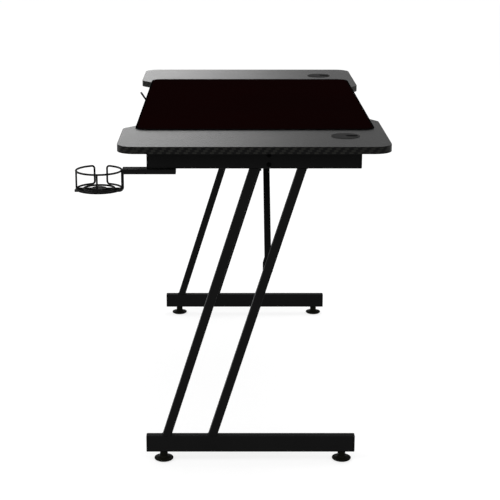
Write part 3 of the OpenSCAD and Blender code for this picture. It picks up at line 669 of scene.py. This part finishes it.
def one_stitch():
    """A stitch whose arm lies along -X from the rim at the origin and whose end points down."""
    work = bmesh.new()
    ring = bmesh.ops.create_circle(work, segments=THREAD_SIDES, radius=THREAD_MM * MM)["verts"]
    upright = Matrix.Rotation(math.pi / 2, 3, "Y")
    bmesh.ops.rotate(work, cent=(0, 0, 0), matrix=upright, verts=ring)
    bmesh.ops.translate(work, vec=(-SEAM_MM * MM, 0, -THREAD_MM * MM / 2), verts=ring)
    arm = bmesh.ops.extrude_edge_only(work, edges=work.edges[:])["geom"]
    points = [v for v in arm if isinstance(v, bmesh.types.BMVert)]
    bmesh.ops.translate(work, vec=((SEAM_MM - BEND_MM) * MM, 0, RISE_MM * MM), verts=points)
    front = [e for e in arm if isinstance(e, bmesh.types.BMEdge)]
    front = [e for e in front if all(v in points for v in e.verts)]
    centre = (-BEND_MM * MM, 0, -(BEND_MM + THREAD_MM / 2) * MM)
    bend = bmesh.ops.spin(work, geom=front + points, cent=centre, axis=(0, 1, 0),
                          angle=math.pi / 2, steps=2)["geom_last"]
    bend = [e for e in bend if isinstance(e, bmesh.types.BMEdge)]
    tail = bmesh.ops.extrude_edge_only(work, edges=bend)["geom"]
    points = [v for v in tail if isinstance(v, bmesh.types.BMVert)]
    bmesh.ops.translate(work, vec=(0, 0, -TAIL_MM * MM), verts=points)
    for v in work.verts:
        v.co.y += SLANT * v.co.x
    bmesh.ops.remove_doubles(work, verts=work.verts, dist=WELD / 10)
    bmesh.ops.holes_fill(work, edges=work.edges[:], sides=THREAD_SIDES)
    bmesh.ops.recalc_face_normals(work, faces=work.faces)
    mesh = bpy.data.meshes.new("one stitch")
    work.to_mesh(mesh)
    work.free()
    return mesh


stitch = one_stitch()
print("one stitch has", len(stitch.polygons), "faces")

# %% [markdown]
# ## Sew the mat's edge
# To set the stitches evenly we walk round the mat's outline: along each side, round its corner,
# and so on, in equal steps. Each step gives a place and the way that faces outwards there. The
# cloth, its rubber and its seam lie on the board and ride on the desk's body.

# %% Overlock seam
STITCH_MM = 1.6


def round_the_edge(low, high, radius, pitch):
    """Places and headings of an even walk round a rectangle with round corners."""
    across, along = high.x - low.x - 2 * radius, high.y - low.y - 2 * radius
    arc = radius * math.pi / 2
    whole = 2 * (across + along) + 4 * arc
    corners = [
        (Vector((high.x - radius, low.y + radius)), -math.pi / 2, across),
        (Vector((high.x - radius, high.y - radius)), 0.0, along),
        (Vector((low.x + radius, high.y - radius)), math.pi / 2, across),
        (Vector((low.x + radius, low.y + radius)), math.pi, along),
    ]
    for i in range(round(whole / pitch)):
        way = i * whole / round(whole / pitch)
        for centre, outward, straight in corners:
            if way < straight + arc:
                break
            way -= straight + arc
        onward = outward + max(0.0, way - straight) / radius
        behind = min(0.0, way - straight)
        yield centre + Vector((math.cos(onward) * radius - math.sin(outward) * behind,
                               math.sin(onward) * radius + math.cos(outward) * behind)), onward


work = bmesh.new()
for place, heading in round_the_edge(mat_low, mat_high, MAT_ROUND_MM * MM, STITCH_MM * MM):
    turned = stitch.copy()
    outward = Matrix.Rotation(heading, 4, "Z")
    turned.transform(Matrix.Translation((*place, mat_high.z)) @ outward)
    work.from_mesh(turned)
    bpy.data.meshes.remove(turned)
seam = finish_piece(work, "mat_overlock_seam", [thread_finish], "mat", "desk")
print(len(seam.data.polygons), "faces in the seam")

# %% [markdown]
# ## Weld beads
# The leaning tubes are cut at a slant and welded to the beams across their front and back
# faces. A weld is a row of frozen drops, each partly over the last, and the powder coat covers
# it. We lay such a row from end to end of each seam, where the CAD's own corners say it is.

# %% Weld beads
BEAD_MM = 1.3
BEAD_PITCH_MM = 1.5
BEAD_SQUASH = 0.8
TUBE_ROUND_MM = 2.5


def bead_row(work, start, end):
    """A row of drops from start to end, each squashed along the seam."""
    run = end - start
    count = round(run.length / (BEAD_PITCH_MM * MM))
    turned = run.to_track_quat("X", "Z").to_matrix().to_4x4()
    squashed = Matrix.Diagonal((BEAD_SQUASH, 1.0, 1.0, 1.0))
    for i in range(count + 1):
        drop = Matrix.Translation(start + run * i / count) @ turned @ squashed
        bmesh.ops.create_uvsphere(work, u_segments=8, v_segments=5,
                                  radius=BEAD_MM * MM, matrix=drop)


def end_reach(node, height):
    """Where the cut end of a leaning tube at this height begins and ends along Y."""
    ys = [v.co.y for v in nodes[node].data.vertices if abs(v.co.z - height) < WELD]
    return min(ys), max(ys)


work = bmesh.new()
for side in SIDES:
    for leg in (f"front_leg_{side}", f"rear_leg_{side}"):
        low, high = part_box(leg)
        for height in (low.z, high.z):
            for y in end_reach(leg, height):
                bead_row(work, Vector((low.x + TUBE_ROUND_MM * MM, y, height)),
                         Vector((high.x - TUBE_ROUND_MM * MM, y, height)))
beads = finish_piece(work, "weld_beads", [steel_coat], "black_steel", "desk")
print(len(beads.data.polygons), "faces in the beads")

# %% [markdown]
# ## Floor and background
# A white studio. Most of the floor's white is a glow that only the camera, mirrors and glass
# see, so it is white at every distance without throwing light up at the desk. The rest is an
# ordinary matt surface, which keeps the soft shadow of the feet. The world works the same way:
# pure white to look at, a little less as light.

# %% Studio
WHITE = linear("ffffff")
WORLD_LIGHT = 0.8
FLOOR_SIDE = 80
FLOOR_GLOW = 0.72
FLOOR_SHADE = 0.36


def seen_or_lit(tree, seen, lit):
    """A shader for camera, mirror and glass rays, and another for the light on the object."""
    path = add(tree, "ShaderNodeLightPath").outputs
    rays = {0: path["Is Camera Ray"], 1: path["Is Glossy Ray"]}
    rays = add(tree, "ShaderNodeMath", rays, operation="MAXIMUM").outputs[0]
    rays = {0: rays, 1: path["Is Transmission Ray"]}
    rays = add(tree, "ShaderNodeMath", rays, operation="MAXIMUM").outputs[0]
    return add(tree, "ShaderNodeMixShader", {0: rays, 1: lit, 2: seen}).outputs[0]


def white_world():
    world = bpy.data.worlds.new("studio")
    world.use_nodes = True
    tree = world.node_tree
    tree.nodes.clear()
    white = add(tree, "ShaderNodeBackground", {"Color": WHITE, "Strength": 1.0})
    light = add(tree, "ShaderNodeBackground", {"Color": WHITE, "Strength": WORLD_LIGHT})
    shader = seen_or_lit(tree, white.outputs[0], light.outputs[0])
    add(tree, "ShaderNodeOutputWorld", {"Surface": shader})
    return world


def floor_white():
    material = bpy.data.materials.new("studio floor")
    material.use_nodes = True
    tree = material.node_tree
    tree.nodes.clear()
    matt = add(tree, "ShaderNodeBsdfDiffuse", {"Color": (FLOOR_SHADE, FLOOR_SHADE, FLOOR_SHADE, 1)})
    glow = add(tree, "ShaderNodeEmission", {"Color": WHITE, "Strength": FLOOR_GLOW})
    both = add(tree, "ShaderNodeAddShader", {0: matt.outputs[0], 1: glow.outputs[0]})
    shader = seen_or_lit(tree, both.outputs[0], matt.outputs[0])
    add(tree, "ShaderNodeOutputMaterial", {"Surface": shader})
    return material


def stage_plate(name, material, size, place, turn):
    """A flat plate of the studio, which isn't part of the desk."""
    work = bmesh.new()
    bmesh.ops.create_grid(work, x_segments=1, y_segments=1, size=0.5)
    bmesh.ops.scale(work, vec=(*size, 1), verts=work.verts)
    mesh = bpy.data.meshes.new(name)
    work.to_mesh(mesh)
    work.free()
    mesh.materials.append(material)
    plate = bpy.data.objects.new(name, mesh)
    plate.location = place
    plate.rotation_euler = turn
    bpy.context.scene.collection.objects.link(plate)
    plate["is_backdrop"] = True
    return plate


bpy.context.scene.world = white_world()
floor = stage_plate("floor", floor_white(), (FLOOR_SIDE, FLOOR_SIDE), (0, 0, 0), (0, 0, 0))
print(floor.name, FLOOR_SIDE, "metres wide")

# %% [markdown]
# ## The card that reflections see
# Seen this low, the laminate is a dim mirror, so its tone comes from what stands behind the desk.
# There we put a tall card that only reflections see. It is brightest low down on the left and
# fades upwards and to the right, so that the laminate shines at its far end and on the left. The
# fade to the right leans a little, because the sheen on the real top does too.

# %% Fading card
CARD_SIZE = (5, 9)
CARD_AWAY = 6.0
CARD_MIDDLE = 2.4
# Strengths low down and high up, and the heights between which they change, in metres.
CARD_LEFT = (2.3, 0.53)
CARD_RIGHT = (0.39, 0.13)
CARD_DIM = (1.1, 2.4)
# Left turns into right between these places, in metres, at one height, and further right above.
CARD_FADE = (-0.9, 0.75)
CARD_FADE_AT = 1.53
CARD_LEAN = 0.15


def fading_card():
    material = bpy.data.materials.new("fading card")
    material.use_nodes = True
    tree = material.node_tree
    tree.nodes.clear()
    place = add(tree, "ShaderNodeTexCoord").outputs["Object"]
    place = add(tree, "ShaderNodeSeparateXYZ", {0: place}).outputs
    # The plate is turned up about Y, so its own X runs downwards from its middle.
    up = {0: CARD_MIDDLE, 1: place["X"]}
    up = add(tree, "ShaderNodeMath", up, operation="SUBTRACT").outputs[0]
    span = {"Value": up, "From Min": CARD_DIM[0], "From Max": CARD_DIM[1]}
    dim = add(tree, "ShaderNodeMapRange", span, interpolation_type="SMOOTHSTEP").outputs["Result"]
    left = {"Factor": dim, "A": CARD_LEFT[0], "B": CARD_LEFT[1]}
    left = add(tree, "ShaderNodeMix", left, data_type="FLOAT").outputs["Result"]
    right = {"Factor": dim, "A": CARD_RIGHT[0], "B": CARD_RIGHT[1]}
    right = add(tree, "ShaderNodeMix", right, data_type="FLOAT").outputs["Result"]
    above = add(tree, "ShaderNodeMath", {0: up, 1: CARD_FADE_AT}, operation="SUBTRACT").outputs[0]
    leant = {0: above, 1: -CARD_LEAN, 2: place["Y"]}
    leant = add(tree, "ShaderNodeMath", leant, operation="MULTIPLY_ADD").outputs[0]
    span = {"Value": leant, "From Min": CARD_FADE[0], "From Max": CARD_FADE[1]}
    fade = add(tree, "ShaderNodeMapRange", span, interpolation_type="SMOOTHSTEP").outputs["Result"]
    strength = {"Factor": fade, "A": left, "B": right}
    strength = add(tree, "ShaderNodeMix", strength, data_type="FLOAT").outputs["Result"]
    glow = add(tree, "ShaderNodeEmission", {"Color": WHITE, "Strength": strength})
    add(tree, "ShaderNodeOutputMaterial", {"Surface": glow.outputs[0]})
    return material


card = stage_plate("fading_card", fading_card(), CARD_SIZE,
                   place=(-CARD_AWAY, 0, CARD_MIDDLE), turn=(0, math.pi / 2, 0))
for rays in ("camera", "diffuse", "shadow", "transmission"):
    setattr(card, "visible_" + rays, False)
print(card.name, "stands", CARD_AWAY, "metres behind the middle of the desk")

# %% [markdown]
# ## Two softboxes
# The white room alone would light the desk from all sides alike. A large softbox in front and a
# weaker one above and behind add the highlights on the rounded edges. Both are large and far
# away, so that the satin top never shows a small, hard glare.


# %% Softboxes
def add_lamp(name, place, aim, side, watts):
    """A square softbox that looks at a point and isn't seen itself."""
    data = bpy.data.lights.new(name, "AREA")
    data.shape = "SQUARE"
    data.size = side
    data.energy = watts
    lamp = bpy.data.objects.new(name, data)
    lamp.location = place
    lamp.rotation_euler = (Vector(aim) - Vector(place)).to_track_quat("-Z", "Y").to_euler()
    bpy.context.scene.collection.objects.link(lamp)
    lamp.visible_camera = False
    print(name, "lamp:", watts, "watts from", side, "metres square")


add_lamp("key", place=(1.8, -3.2, 3.2), aim=(0.4, 0, 0.4), side=2.6, watts=60)
add_lamp("top", place=(-1.5, 1.0, 4.0), aim=(0, 0, 0.5), side=2.2, watts=40)

# %% [markdown]
# ## Measure and finish
# The plain Standard view shows each colour about as it was written. Last we measure the bounds
# of the dressed desk; the thread round the mat stands above the CAD mat's top.

# %% Finish
bpy.context.scene.view_settings.view_transform = "Standard"
low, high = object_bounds()
